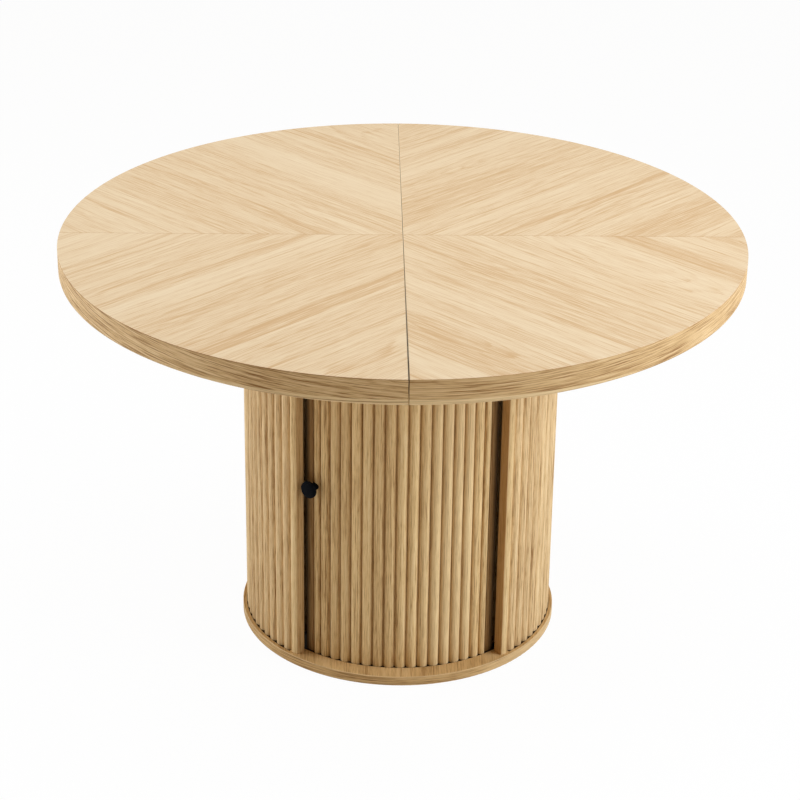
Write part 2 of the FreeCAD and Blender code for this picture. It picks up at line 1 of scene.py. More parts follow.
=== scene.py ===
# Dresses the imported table: oak finishes, hardware, a pale studio and the photograph's camera.
import math

import bmesh
import bpy
from mathutils import Matrix, Vector


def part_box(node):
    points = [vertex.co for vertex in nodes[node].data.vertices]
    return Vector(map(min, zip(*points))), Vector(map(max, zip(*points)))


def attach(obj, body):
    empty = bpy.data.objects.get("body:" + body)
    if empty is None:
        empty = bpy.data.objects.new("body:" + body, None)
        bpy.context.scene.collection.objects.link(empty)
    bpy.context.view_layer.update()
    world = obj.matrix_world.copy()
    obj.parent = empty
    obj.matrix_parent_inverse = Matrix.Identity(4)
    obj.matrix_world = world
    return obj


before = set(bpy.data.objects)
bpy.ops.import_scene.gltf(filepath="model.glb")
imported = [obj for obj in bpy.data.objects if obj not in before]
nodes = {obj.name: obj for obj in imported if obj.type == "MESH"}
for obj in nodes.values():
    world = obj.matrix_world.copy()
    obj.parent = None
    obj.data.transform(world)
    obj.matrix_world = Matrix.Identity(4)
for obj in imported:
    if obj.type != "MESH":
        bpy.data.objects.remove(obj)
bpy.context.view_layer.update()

MILLIMETRE = 0.001
DEGREE = math.radians(1.0)

# Indexes of the axes
X, Y, Z = range(3)

# Sizes of the table, in metres, read from the frame
TABLE_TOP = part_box("top_veneer_front_left")[1][Z]
BAND_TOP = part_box("top_edge_band_left")[1][Z]
TOP_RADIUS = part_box("top_edge_band_right")[1][X]
SEAM_HALF_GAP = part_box("top_edge_band_right")[0][X]
LIP_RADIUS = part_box("under_board_right")[1][X]
LIP_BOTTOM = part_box("under_board_right")[0][Z]
LIP_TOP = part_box("under_board_right")[1][Z]
BASE_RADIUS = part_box("base_edge_band")[1][X]
BASE_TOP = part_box("base_plate")[1][Z]
DRUM_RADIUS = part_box("shell_slats_right")[1][X]
DOOR_RADIUS = -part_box("door_slats")[0][Y]


def front_angles(name):
    """Angles of a node's corners about the table's axis, in radians from the front to the right."""
    return [math.atan2(vertex.co.x, -vertex.co.y) for vertex in nodes[name].data.vertices]


OPENING_ANGLE = min(front_angles("post_right"))
DOOR_ANGLE = max(front_angles("door_backing"))
SLATS_ANGLE = max(front_angles("door_slats"))

# Veneer strip bent over the rounded lower edge of the tabletop
LIP_VENEER = 0.3 * MILLIMETRE
LIP_VENEER_LAP = 0.2 * MILLIMETRE
LIP_ROUND_STEPS = 12
RIM_STEPS = 240
UNDERSIDE_TOLERANCE = 0.01 * MILLIMETRE

# Bends of the added veneers up to this angle are shaded smooth
SMOOTH_LIMIT = 40.0 * DEGREE

# Facing of the seam, which narrows it from the front to the rear and closes it there but for a small share
SEAM_TAPER = 1.2
SEAM_STEPS = 24
SEAM_CLOSED_LENGTH = 3.0 * MILLIMETRE
SEAM_CLOSED_SHARE = 0.25
SEAM_END_SETBACK = 0.5 * MILLIMETRE
SEAM_DROP = 0.1 * MILLIMETRE

# Camera of the photograph: its place is turned about the table, and its view panned, pitched and rolled
CAMERA_DISTANCE = 3.8587
CAMERA_HEIGHT = 2.2634
CAMERA_AZIMUTH = -1.2
CAMERA_PAN = 0.0137
CAMERA_PITCH = 25.478
CAMERA_ROLL = 0.82
CAMERA_LENS = 106.364
SENSOR_WIDTH = 36.0

# Studio light: warm from all round, cooler from the lamps
FILL_COLOUR = (1.0, 0.78, 0.48, 1.0)
FILL_STRENGTH = 0.28
LAMP_COLOUR = (0.9, 1.0, 1.13)
LAMPS = {
    "overhead": dict(spot=(0.0, 0.3, 3.2), aim=(0.0, 0.0, 0.7), size=(3.0, 3.0), power=46.0),
    "right": dict(spot=(2.95, -1.0, 1.75), aim=(0.0, 0.0, 0.4), size=(2.0, 2.0), power=87.0),
    "left": dict(spot=(-3.2, 0.2, 1.3), aim=(0.0, 0.0, 0.4), size=(2.0, 2.2), power=62.0),
}

# Floor: a pale disc, which the camera sees as white with a trace of its shadows
WHITE = (1.0, 1.0, 1.0, 1.0)
FLOOR_COLOUR = (0.92, 0.92, 0.92, 1.0)
FLOOR_WHITE_SHARE = 0.965
FLOOR_RADIUS = 14.0
FLOOR_CORNERS = 96

# Oak colours, from dark to light, as 8-bit display colours
TOP_COLOURS = ((210, 173, 128), (230, 204, 167), (237, 215, 181))
DRUM_COLOURS = ((140, 98, 50), (225, 193, 143), (239, 214, 171))
POST_COLOURS = ((140, 98, 46), (223, 191, 137), (238, 212, 165))
DOOR_COLOURS = ((138, 96, 47), (225, 192, 137), (239, 213, 165))
# Stiles: darker than the door's oak, a painted shade of their recess beside the posts
STILE_COLOURS = ((112, 78, 40), (172, 134, 86), (190, 156, 108))
EDGE_COLOURS = ((142, 101, 56), (208, 172, 121), (228, 198, 153))
BASE_EDGE_COLOURS = ((124, 86, 42), (200, 163, 110), (218, 187, 138))
BOARD_COLOURS = ((145, 105, 58), (205, 168, 113), (221, 189, 140))
# Single colours: painted light on the tabletop's lower edge, pale rims of the plates' edges with painted
# light at the right, and painted shade in grooves, hollows, gaps and the seam
PAINTED_LIGHT_STRIP = (238, 211, 163)
PALE_RIM_AND_PAINTED_LIGHT = (232, 204, 158)
GROOVE_SHADE = (72, 50, 28)
HOLLOW_SHADE = (176, 132, 48)
GAP_SHADE = (20, 13, 8)
SEAM_SHADE = (52, 54, 47)

# Layers of the oak: features per metre along and across the grain, then the noise's detail and roughness
BAND_LAYER = (0.9, 13.0, 1.0, 0.5)
STREAK_LAYER = (1.9, 55.0, 2.0, 0.55)
FADE_LAYER = (4.0, 45.0, 1.0, 0.5)
FIBRE_LAYER = (9.0, 460.0, 2.0, 0.75)
PORE_LAYER = (42.0, 720.0, 2.0, 0.6)
BEND_LAYER = (4.0, 38.0, 1.0, 0.5)
RIPPLE_LAYER = (14.0, 150.0, 1.0, 0.5)

# Boards of the oak: how their widths change, how far apart they are cut and how their lines wander
SWELL_RATE = 2.3
BOARD_SHIFT = 7.0
SWAY_ALONG_RATE = 1.5
SWAY_ACROSS_RATE = 5.0
SWAY_DETAIL = 3.0

# Rings of the oak: the heart's dives, the wavering of the rings in ring widths, and the seasons per ring
DIVE_RATE = 1.7
DIVE_SCATTER = 40.0
DIVE_RANGE = 3.0
BEND_RINGS = 1.4
RIPPLE_RINGS = 0.6
SEASON_RATE = 0.24

# Shares of a ring where its dark part starts, is full and begins to end, and where and how far rings fade
LATE_START_SHARE = 0.45
LATE_FULL_SHARE = 0.88
LATE_END_SHARE = 0.9
FADE_RANGE = (0.36, 0.58)
FADED_SHARE = 0.4

# How far each part of the figure moves the tone at a strength of 1
TONE_WEIGHTS = {"Boards": 0.6, "Slopes": 1.6, "Bands": 2.4, "Streaks": 2.2, "Fibres": 1.6, "Pores": -1.6}

# Open pores: where they show, how strong they stay in pale streaks, and how dark they are
PORE_RANGE = (0.54, 0.72)
PALE_STREAK_RANGE = (0.6, 0.4)
PALE_STREAK_SHARE = 0.7
PORE_DARKNESS = 0.6

# Relief and lacquer of the oak
FIBRE_RELIEF = 0.5
WOOD_ROUGHNESS = 0.6
FIBRE_ROUGHNESS = 0.16
WOOD_GLOSS = 0.2
WOOD_BUMP = 0.4 * MILLIMETRE

# Figures of the oak: sizes in metres, then the strength of each part
TOP_FIGURE = dict(
    board_width=0.085, width_change=0.3, sway=0.008, ring_width=0.006, heart_depth=0.04, heart_spread=1.3,
    boards=0.34, slopes=0.38, bands=0.28, streaks=0.2, seasons=0.26, rings=0.3, fibres=1.25, pores=0.3,
)
BOARD_FIGURE = dict(
    board_width=0.13, width_change=0.2, sway=0.01, ring_width=0.007, heart_depth=0.05, heart_spread=1.2,
    boards=0.15, slopes=0.15, bands=0.2, streaks=0.3, seasons=0.1, rings=0.25, fibres=0.8, pores=0.45,
)
DRUM_FIGURE = dict(
    board_width=0.16, width_change=0.2, sway=0.006, ring_width=0.006, heart_depth=0.05, heart_spread=1.2,
    boards=0.1, slopes=0.1, bands=0.2, streaks=0.14, seasons=0.0, rings=0.08, fibres=1.15, pores=0.42,
)
LEFT_EDGE_FIGURE = dict(
    board_width=0.14, width_change=0.0, sway=0.02, ring_width=0.0048, heart_depth=0.06, heart_spread=0.35,
    boards=0.0, slopes=0.0, bands=0.12, streaks=0.12, seasons=0.0, rings=0.24, fibres=2.1, pores=0.5,
)
RIGHT_EDGE_FIGURE = dict(LEFT_EDGE_FIGURE, rings=0.12, fibres=1.5, pores=0.25)
BASE_EDGE_FIGURE = dict(LEFT_EDGE_FIGURE, bands=0.05, streaks=0.05, rings=0.12, fibres=1.5, pores=0.4)

# Relief of the grain on each kind of piece
TOP_RELIEF = 0.08
SEAM_RELIEF = 0.1
EDGE_RELIEF = 0.15
BOARD_RELIEF = 0.15
DRUM_RELIEF = 0.2

# Seed of the top, and its steps to the right and to the rear, which give each quarter a figure of its own
TOP_SEED = 20.0
TOP_SEED_RIGHT = 3.0
TOP_SEED_REAR = 7.0

# Joint between the front and rear quarters, and painted shade of the seam's gap on the veneer along it,
# darkest at the front
QUARTER_JOINT = 0.3 * MILLIMETRE
QUARTER_JOINT_DARKNESS = 0.9
SEAM_EDGE = 0.5 * MILLIMETRE
SEAM_EDGE_DARKNESS = 0.6

# Depths under the tabletop's upper face at which the painted shade on the seam's facing is full and at which
# the facing is still pale
SEAM_DARK_DEPTH = 0.6 * MILLIMETRE
SEAM_PALE_DEPTH = 0.3 * MILLIMETRE
SEAM_DARKNESS = 0.9

# Glue joint at the upper rim of the tabletop's edge
GLUE_START_DEPTH = 1.2 * MILLIMETRE
GLUE_FULL_DEPTH = 0.4 * MILLIMETRE

# Painted light along the lower edge of the tabletop: a pale strip, highest at the front, and the fine line
# inside it
STRIP_HEIGHT = 11.0 * MILLIMETRE
STRIP_FALL = 8.2 * MILLIMETRE
STRIP_SOFTNESS = 0.6 * MILLIMETRE
STRIP_PALENESS = (0.35, 0.8)
STRIP_END_ANGLES = (0.50, 0.80)
STRIP_LINE_HEIGHT = 7.2 * MILLIMETRE
STRIP_LINE_RISE = 14.0 * MILLIMETRE
STRIP_LINE_CORE = 0.4 * MILLIMETRE
STRIP_LINE_REACH = 1.0 * MILLIMETRE

# Paler upper rim of the edge of the base plate, and painted light on its right part
RIM_START_DEPTH = 1.6 * MILLIMETRE
RIM_FULL_DEPTH = 0.6 * MILLIMETRE
RIM_PALENESS = 0.6
RIGHT_START_ANGLES = (0.35, 0.95)
RIGHT_END_ANGLES = (1.6, 2.4)
RIGHT_PAINTED_LIGHT = 0.4

# Slats: how far apart along the oak each is cut, and how much darker the darkest is
SLAT_SHIFT = 40.0
SLAT_TINT_SCATTER = 17.0
SLAT_TINT = 0.16

# Depths under the base plate's upper face of the painted shade in its groove: slats in the groove darken to
# the first, the groove to the second
SUNK_DEPTH = 1.2 * MILLIMETRE
GROOVE_DARK_DEPTH = 1.0 * MILLIMETRE
GROOVE_PALE_DEPTH = 0.3 * MILLIMETRE

# Inner faces of the posts: where their shade fades past the opening's edge, and its strength on the left and
# on the right one, with the angle either side of the front over which it changes
POST_SHADE_START = 0.1 * DEGREE
POST_SHADE_FADE = 0.4 * DEGREE
POST_SHADES = (0.38, 0.72)
POST_CHANGE_ANGLE = 0.1

# Door: painted light on the slats at the right, and painted shade in the hollows between slats, on the sides
# of the last slats and at the edges of the stiles
PALE_START_ANGLES = (0.05, 0.3)
PALE_END_ANGLES = (0.5, 0.56)
DOOR_PAINTED_LIGHT = 0.35
HOLLOW_DEPTH = 5.0 * MILLIMETRE
HOLLOW_END_DEPTH = 1.5 * MILLIMETRE
HOLLOW_STRENGTH = 0.32
LAST_SLAT_WIDTH = 1.4 * DEGREE
LAST_SLAT_STRENGTH = 0.7
STILE_EDGE_WIDTH = 2.8 * DEGREE
STILE_EDGE_STRENGTH = 0.8

# Mottling of plain surfaces
MOTTLE_DETAIL = 3.0
MOTTLE_ROUGHNESS = 0.6
MOTTLE_GLOSS_CHANGE = 0.12
PLAIN_BUMP = 0.2 * MILLIMETRE


def linear(red, green, blue):
    """Scene-linear colour of an 8-bit display colour."""
    def channel(value):
        value /= 255
        return value / 12.92 if value <= 0.04045 else ((value + 0.055) / 1.055) ** 2.4
    return (channel(red), channel(green), channel(blue), 1.0)


class Tree:
    """Short calls that add nodes to a node tree. Any value may be a number or another node's output."""

    def __init__(self, node_tree):
        self.tree = node_tree
        self.tree.nodes.clear()

    def feed(self, socket, value):
        """Links another node's output to a socket, or sets the socket itself."""
        if isinstance(value, bpy.types.NodeSocket):
            self.tree.links.new(value, socket)
        else:
            socket.default_value = value

    def add(self, kind, inputs=None, **settings):
        node = self.tree.nodes.new(kind)
        for name, value in settings.items():
            setattr(node, name, value)
        for name, value in (inputs or {}).items():
            self.feed(node.inputs[name], value)
        return node

    def math(self, operation, *values, clamp=False):
        node = self.add("ShaderNodeMath", operation=operation, use_clamp=clamp)
        for socket, value in zip(node.inputs, values):
            self.feed(socket, value)
        return node.outputs[0]

    def plus(self, first, *others):
        for other in others:
            first = self.math("ADD", first, other)
        return first

    def minus(self, first, second):
        return self.math("SUBTRACT", first, second)

    def times(self, first, *others):
        for other in others:
            first = self.math("MULTIPLY", first, other)
        return first

    def times_plus(self, first, factor, addend):
        return self.math("MULTIPLY_ADD", first, factor, addend)

    def diagonal(self, first, second):
        """Diagonal of a rectangle with these sides."""
        return self.math("SQRT", self.plus(self.math("POWER", first, 2.0), self.math("POWER", second, 2.0)))

    def vector(self, x, y, z):
        return self.add("ShaderNodeCombineXYZ", {X: x, Y: y, Z: z}).outputs[0]

    def split(self, vector):
        return self.add("ShaderNodeSeparateXYZ", {0: vector}).outputs[:3]

    def noise(self, x, y, z, detail, roughness=0.5):
        inputs = {"Vector": self.vector(x, y, z), "Scale": 1.0, "Detail": detail, "Roughness": roughness}
        return self.add("ShaderNodeTexNoise", inputs).outputs["Fac"]

    def scatter(self, x, y):
        """Three even random numbers that stay the same over each whole x and y."""
        node = self.add("ShaderNodeTexWhiteNoise", {"Vector": self.vector(x, y, 0.5)})
        return self.split(node.outputs["Color"])

    def spread(self, value, low, high, to_low=0.0, to_high=1.0):
        """value taken from one range to another, and held inside it, with a soft start and end."""
        node = self.add("ShaderNodeMapRange", {0: value, 1: low, 2: high, 3: to_low, 4: to_high})
        node.interpolation_type = "SMOOTHSTEP"
        return node.outputs[0]

    def mix(self, factor, first, second, blend="MIX"):
        """Two colours mixed. The node has its colours at inputs 6 and 7 and their mix at output 2."""
        node = self.add("ShaderNodeMix", data_type="RGBA", blend_type=blend, clamp_factor=True)
        for socket, value in ((node.inputs[0], factor), (node.inputs[6], first), (node.inputs[7], second)):
            self.feed(socket, value)
        return node.outputs[2]


PLACE_INPUTS = ("Along", "Across", "Seed")
SIZE_INPUTS = ("Board width", "Width change", "Sway", "Ring width", "Heart depth", "Heart spread")
STRENGTH_INPUTS = ("Boards", "Slopes", "Bands", "Streaks", "Seasons", "Rings", "Fibres", "Pores")
COLOUR_INPUTS = ("Dark", "Middle", "Light")


def oak_group():
    """Node group that turns a place along and across the grain, in metres, into oak colour and relief."""
    group = bpy.data.node_groups.new("oak", "ShaderNodeTree")
    for name in PLACE_INPUTS + SIZE_INPUTS + STRENGTH_INPUTS:
        group.interface.new_socket(name, in_out="INPUT", socket_type="NodeSocketFloat")
    for name in COLOUR_INPUTS:
        group.interface.new_socket(name, in_out="INPUT", socket_type="NodeSocketColor")
    group.interface.new_socket("Color", in_out="OUTPUT", socket_type="NodeSocketColor")
    for name in ("Roughness", "Height"):
        group.interface.new_socket(name, in_out="OUTPUT", socket_type="NodeSocketFloat")

    tree = Tree(group)
    given = tree.add("NodeGroupInput").outputs
    seed, width = given["Seed"], given["Board width"]

    # Boards of uneven width. The middle of the first one is where Across is 0.
    even = tree.plus(tree.math("DIVIDE", given["Across"], width), 0.5)
    swell = tree.math("SINE", tree.times_plus(even, SWELL_RATE, seed))
    uneven = tree.times_plus(swell, given["Width change"], even)
    board = tree.math("FLOOR", uneven)
    inside = tree.minus(tree.minus(uneven, board), 0.5)
    cut, lean, heart = tree.scatter(board, seed)

    # Every board is cut from another place, and its lines wander a little over its length
    along = tree.times_plus(cut, BOARD_SHIFT, given["Along"])
    sway_across = tree.times(given["Across"], SWAY_ACROSS_RATE)
    sway = tree.noise(tree.times(along, SWAY_ALONG_RATE), sway_across, seed, SWAY_DETAIL)
    across = tree.times_plus(tree.minus(sway, 0.5), given["Sway"], given["Across"])

    def layer(along_rate, across_rate, detail, roughness):
        """Noise drawn out along the grain."""
        x = tree.times(along, along_rate)
        y = tree.times(across, across_rate)
        return tree.noise(x, y, tree.plus(seed, across_rate), detail, roughness)

    band = layer(*BAND_LAYER)
    streak = layer(*STREAK_LAYER)
    fade = layer(*FADE_LAYER)
    fibre = layer(*FIBRE_LAYER)
    pore = layer(*PORE_LAYER)
    bend = tree.times(layer(*BEND_LAYER), BEND_RINGS)
    ripple = tree.times(layer(*RIPPLE_LAYER), RIPPLE_RINGS)

    # Growth rings about a heart line, which lies beside the board at a depth that changes along it
    offset = tree.times(tree.times_plus(heart, 2.0, -1.0), given["Heart spread"])
    beside = tree.times(tree.minus(inside, offset), width)
    swayed = tree.plus(beside, tree.minus(across, given["Across"]))
    dive = tree.noise(tree.times(along, DIVE_RATE), tree.times(heart, DIVE_SCATTER), seed, 1.0)
    depth = tree.times(tree.times_plus(dive, DIVE_RANGE, -1.0), given["Heart depth"])
    reach = tree.math("DIVIDE", tree.diagonal(swayed, depth), given["Ring width"])
    ring = tree.plus(reach, bend, ripple)

    def late_wood(position):
        """Dark part of each ring: a soft start, a crisp end and a strength of its own."""
        count = tree.math("FLOOR", position)
        phase = tree.minus(position, count)
        strength = tree.scatter(count, tree.plus(board, seed))[0]
        start = tree.spread(phase, LATE_START_SHARE, LATE_FULL_SHARE)
        end = tree.spread(phase, LATE_END_SHARE, 1.0, 1.0, 0.0)
        return tree.times(start, end, strength)

    rings = tree.times(late_wood(ring), tree.spread(fade, *FADE_RANGE, FADED_SHARE, 1.0))
    seasons = late_wood(tree.times(ring, SEASON_RATE))

    # Tone, where 0 is the dark colour, a half the middle one and 1 the light one
    slope = tree.times_plus(inside, tree.minus(lean, 0.5), 0.5)
    parts = {
        "Boards": cut, "Slopes": slope, "Bands": band,
        "Streaks": streak, "Fibres": fibre, "Pores": pore,
    }
    tone = 0.5
    for name, value in parts.items():
        weight = tree.times(given[name], TONE_WEIGHTS[name])
        tone = tree.plus(tone, tree.times(tree.minus(value, 0.5), weight))
    tone = tree.minus(tone, tree.times(rings, given["Rings"]))
    tone = tree.minus(tone, tree.times(seasons, given["Seasons"]))
    lower = tree.math("MULTIPLY", tone, 2.0, clamp=True)
    upper = tree.math("MULTIPLY_ADD", tone, 2.0, -1.0, clamp=True)
    colour = tree.mix(upper, tree.mix(lower, given["Dark"], given["Middle"]), given["Light"])

    left_open = tree.spread(streak, *PALE_STREAK_RANGE, PALE_STREAK_SHARE, 1.0)
    open_pore = tree.times(tree.spread(pore, *PORE_RANGE), left_open)
    colour = tree.mix(tree.times(open_pore, given["Pores"], PORE_DARKNESS), colour, given["Dark"])
    height = tree.minus(tree.times(fibre, FIBRE_RELIEF), open_pore)
    roughness = tree.times_plus(fibre, FIBRE_ROUGHNESS, WOOD_ROUGHNESS)
    tree.add("NodeGroupOutput", {"Color": colour, "Roughness": roughness, "Height": height})
    return group


OAK = oak_group()


def new_material(name):
    material = bpy.data.materials.new(name)
    material.use_nodes = True
    return material, Tree(material.node_tree)


def place(tree):
    """Place on the piece along the table's three axes, in metres."""
    return tree.split(tree.add("ShaderNodeTexCoord").outputs["Object"])


def round_place(tree):
    """Angle of the place from the front, in radians, its distance from the axis and its height."""
    x, y, z = place(tree)
    angle = tree.math("ARCTAN2", x, tree.times(y, -1.0))
    return angle, tree.diagonal(x, y), z


def oak(tree, along, across, seed, colours, figure):
    """Adds the oak group, with its dark, middle and light display colours and the sizes of its figure."""
    inputs = {"Along": along, "Across": across, "Seed": seed}
    for name, colour in zip(COLOUR_INPUTS, colours):
        inputs[name] = linear(*colour)
    for name, value in figure.items():
        inputs[name.replace("_", " ").capitalize()] = value
    return tree.add("ShaderNodeGroup", inputs, node_tree=OAK).outputs


def finish_wood(tree, wood, relief, colour):
    """Matt lacquered wood of one colour, with the relief and the roughness of the oak group."""
    bump = tree.add("ShaderNodeBump", {"Strength": relief, "Distance": WOOD_BUMP, "Height": wood["Height"]})
    shader = tree.add("ShaderNodeBsdfPrincipled", {
        "Base Color": colour, "Roughness": wood["Roughness"], "Normal": bump.outputs[0],
        "Specular IOR Level": WOOD_GLOSS,
    })
    tree.add("ShaderNodeOutputMaterial", {"Surface": shader.outputs[0]})


def top_veneer():
    """Four quarters of veneer whose grain points at the middle of the table."""
    material, tree = new_material("oak_top")
    x, y, z = place(tree)
    beside = tree.math("ABSOLUTE", x)
    ahead = tree.math("ABSOLUTE", y)
    along = tree.times(tree.plus(beside, ahead), math.sqrt(0.5))
    across = tree.times(tree.minus(beside, ahead), math.sqrt(0.5))
    right = tree.times(tree.math("SIGN", x), TOP_SEED_RIGHT)
    rear = tree.times(tree.math("SIGN", y), TOP_SEED_REAR)
    wood = oak(tree, along, across, tree.plus(right, rear, TOP_SEED), TOP_COLOURS, TOP_FIGURE)

    rim = tree.spread(z, BAND_TOP, TABLE_TOP, 1.0, 0.0)
    joint = tree.spread(ahead, QUARTER_JOINT, 2 * QUARTER_JOINT, QUARTER_JOINT_DARKNESS, 0.0)
    dark = tree.math("MAXIMUM", rim, joint)
    colour = tree.mix(dark, wood["Color"], linear(*TOP_COLOURS[0]), "MULTIPLY")
    # Painted shade of the seam's gap on the veneer beside it, darkest at the front
    near_seam = tree.spread(beside, SEAM_HALF_GAP + SEAM_EDGE, SEAM_HALF_GAP + 2 * SEAM_EDGE, 1.0, 0.0)
    seam = tree.times(near_seam, tree.spread(y, -TOP_RADIUS, 0.0, SEAM_EDGE_DARKNESS, 0.0))
    finish_wood(tree, wood, TOP_RELIEF, tree.mix(seam, colour, linear(*SEAM_SHADE)))
    return material


def rim_wood(tree, radius, middle, seed, colours, figure, tilt=0.0):
    """Oak veneer round a rim, with its grain along it or a little tilted. Also gives angle and height."""
    angle, from_axis, z = round_place(tree)
    along = tree.times(angle, radius)
    height = tree.plus(tree.minus(z, middle), tree.minus(from_axis, radius))
    across = tree.times_plus(along, tilt, height)
    return oak(tree, along, across, seed, colours, figure), angle, z


def top_edge_oak(name, figure, seed, tilt, joint_strength, line_strength):
    """Edge veneer of half the tabletop: a glue joint above, and painted light below, a pale strip with its
    line.
    """
    material, tree = new_material(name)
    middle = 0.5 * (LIP_BOTTOM + BAND_TOP)
    wood, angle, z = rim_wood(tree, TOP_RADIUS, middle, seed, EDGE_COLOURS, figure, tilt)
    dark = linear(*EDGE_COLOURS[0])
    joint = tree.spread(z, BAND_TOP - GLUE_START_DEPTH, BAND_TOP - GLUE_FULL_DEPTH, 0.0, joint_strength)
    colour = tree.mix(joint, wood["Color"], dark)

    # Painted light: a pale strip along the lower edge, highest at the front and fading out at the sides
    height = tree.minus(z, LIP_BOTTOM)
    aside = tree.math("ABSOLUTE", angle)
    over = tree.minus(height, tree.times_plus(aside, -STRIP_FALL, STRIP_HEIGHT))
    below_top = tree.spread(over, -STRIP_SOFTNESS, STRIP_SOFTNESS, 1.0, 0.0)
    shown = tree.times(below_top, tree.spread(aside, *STRIP_END_ANGLES, 1.0, 0.0))
    strip = tree.times(shown, tree.spread(height, 0.0, STRIP_HEIGHT, *STRIP_PALENESS))
    colour = tree.mix(strip, colour, linear(*PAINTED_LIGHT_STRIP))

    line = tree.minus(height, tree.times_plus(angle, STRIP_LINE_RISE, STRIP_LINE_HEIGHT))
    near = tree.spread(tree.math("ABSOLUTE", line), STRIP_LINE_CORE, STRIP_LINE_REACH, line_strength, 0.0)
    finish_wood(tree, wood, EDGE_RELIEF, tree.mix(tree.times(near, shown), colour, dark))
    return material


def base_edge_oak(name, middle, rim_height, seed):
    """Edge veneer of a round plate of the pedestal, paler along its upper rim, with painted light at the
    right.
    """
    material, tree = new_material(name)
    wood, angle, z = rim_wood(tree, BASE_RADIUS, middle, seed, BASE_EDGE_COLOURS, BASE_EDGE_FIGURE)
    rim = tree.spread(z, rim_height - RIM_START_DEPTH, rim_height - RIM_FULL_DEPTH, 0.0, RIM_PALENESS)
    # Painted light on the right part of the edge
    right = tree.times(tree.spread(angle, *RIGHT_START_ANGLES, 0.0, RIGHT_PAINTED_LIGHT),
                       tree.spread(angle, *RIGHT_END_ANGLES, 1.0, 0.0))
    pale = tree.math("MAXIMUM", rim, right)
    finish_wood(tree, wood, EDGE_RELIEF, tree.mix(pale, wood["Color"], linear(*PALE_RIM_AND_PAINTED_LIGHT)))
    return material


def upright_oak(name, radius, colours, seed, shade=None, depth_share=0.0):
    """Veneer round a drum, with its grain upright and painted shade where it stands in a groove.

    Every slat has another stretch and tint of it. shade may paint light and shade onto the colour, place by
    place.
    depth_share is how far the figure also follows the depth, for faces that look into the opening."""
    material, tree = new_material(name)
    angle, from_axis, z = round_place(tree)
    inward = tree.times(tree.minus(from_axis, radius), tree.math("SIGN", angle))
    across = tree.times_plus(inward, depth_share, tree.times(angle, radius))
    island = tree.add("ShaderNodeNewGeometry").outputs["Random Per Island"]
    wood = oak(tree, tree.times_plus(island, SLAT_SHIFT, z), across, seed, colours, DRUM_FIGURE)
    tint = tree.times(tree.math("FRACT", tree.times(island, SLAT_TINT_SCATTER)), SLAT_TINT)
    colour = tree.mix(tint, wood["Color"], linear(*colours[0]))
    if shade is not None:
        colour = shade(tree, colour, angle, from_axis)
    # Painted shade below the base plate's upper face, in its groove
    sunk = tree.spread(z, BASE_TOP - SUNK_DEPTH, BASE_TOP, 1.0, 0.0)
    finish_wood(tree, wood, DRUM_RELIEF, tree.mix(sunk, colour, linear(*GROOVE_SHADE)))
    return material


def shade_posts(tree, colour, angle, from_axis):
    """Painted shade on the faces of the posts that look into the opening, most at the right."""
    start = OPENING_ANGLE + POST_SHADE_START
    inner = tree.spread(tree.math("ABSOLUTE", angle), start, start + POST_SHADE_FADE, 1.0, 0.0)
    strength = tree.spread(angle, -POST_CHANGE_ANGLE, POST_CHANGE_ANGLE, *POST_SHADES)
    return tree.mix(tree.times(inner, strength), colour, linear(*HOLLOW_SHADE), "MULTIPLY")


def shade_door(tree, colour, angle, from_axis):
    """Painted light on the slats at the right, painted shade in the hollows between the slats and on the
    outer sides of the last ones.
    """
    pale = tree.times(tree.spread(angle, *PALE_START_ANGLES, 0.0, DOOR_PAINTED_LIGHT),
                      tree.spread(angle, *PALE_END_ANGLES, 1.0, 0.0))
    colour = tree.mix(pale, colour, linear(*DOOR_COLOURS[2]))
    hollow_start, hollow_end = DOOR_RADIUS - HOLLOW_DEPTH, DOOR_RADIUS - HOLLOW_END_DEPTH
    hollow = tree.spread(from_axis, hollow_start, hollow_end, HOLLOW_STRENGTH, 0.0)
    aside = tree.math("ABSOLUTE", angle)
    last = tree.spread(aside, SLATS_ANGLE - LAST_SLAT_WIDTH, SLATS_ANGLE, 0.0, LAST_SLAT_STRENGTH)
    return tree.mix(tree.math("MAXIMUM", hollow, last), colour, linear(*HOLLOW_SHADE), "MULTIPLY")


def shade_stiles(tree, colour, angle, from_axis):
    """Painted shade towards the free edges of the door."""
    aside = tree.math("ABSOLUTE", angle)
    edge = tree.spread(aside, DOOR_ANGLE - STILE_EDGE_WIDTH, DOOR_ANGLE, 0.0, STILE_EDGE_STRENGTH)
    return tree.mix(edge, colour, linear(*GAP_SHADE))


def seam_oak():
    """Facing of the seam: painted shade of its gap, with an edge of the top's pale veneer above."""
    material, tree = new_material("oak_seam")
    axes = place(tree)
    wood = oak(tree, axes[Y], axes[Z], seed=19.0, colours=TOP_COLOURS, figure=BOARD_FIGURE)
    deep = tree.spread(axes[Z], TABLE_TOP - SEAM_DARK_DEPTH, TABLE_TOP - SEAM_PALE_DEPTH, SEAM_DARKNESS, 0.0)
    finish_wood(tree, wood, SEAM_RELIEF, tree.mix(deep, wood["Color"], linear(*SEAM_SHADE)))
    return material


def flat_oak(name, along_axis, across_axis, seed, groove_under=None):
    """Flat board, with its grain along one axis of the table and painted shade in a groove where one is
    given.
    """
    material, tree = new_material(name)
    axes = place(tree)
    wood = oak(tree, axes[along_axis], axes[across_axis], seed, BOARD_COLOURS, BOARD_FIGURE)
    colour = wood["Color"]
    if groove_under is not None:
        dark_height, pale_height = groove_under - GROOVE_DARK_DEPTH, groove_under - GROOVE_PALE_DEPTH
        deep = tree.spread(axes[Z], dark_height, pale_height, 1.0, 0.0)
        colour = tree.mix(deep, colour, linear(*GROOVE_SHADE))
    finish_wood(tree, wood, BOARD_RELIEF, colour)
    return material


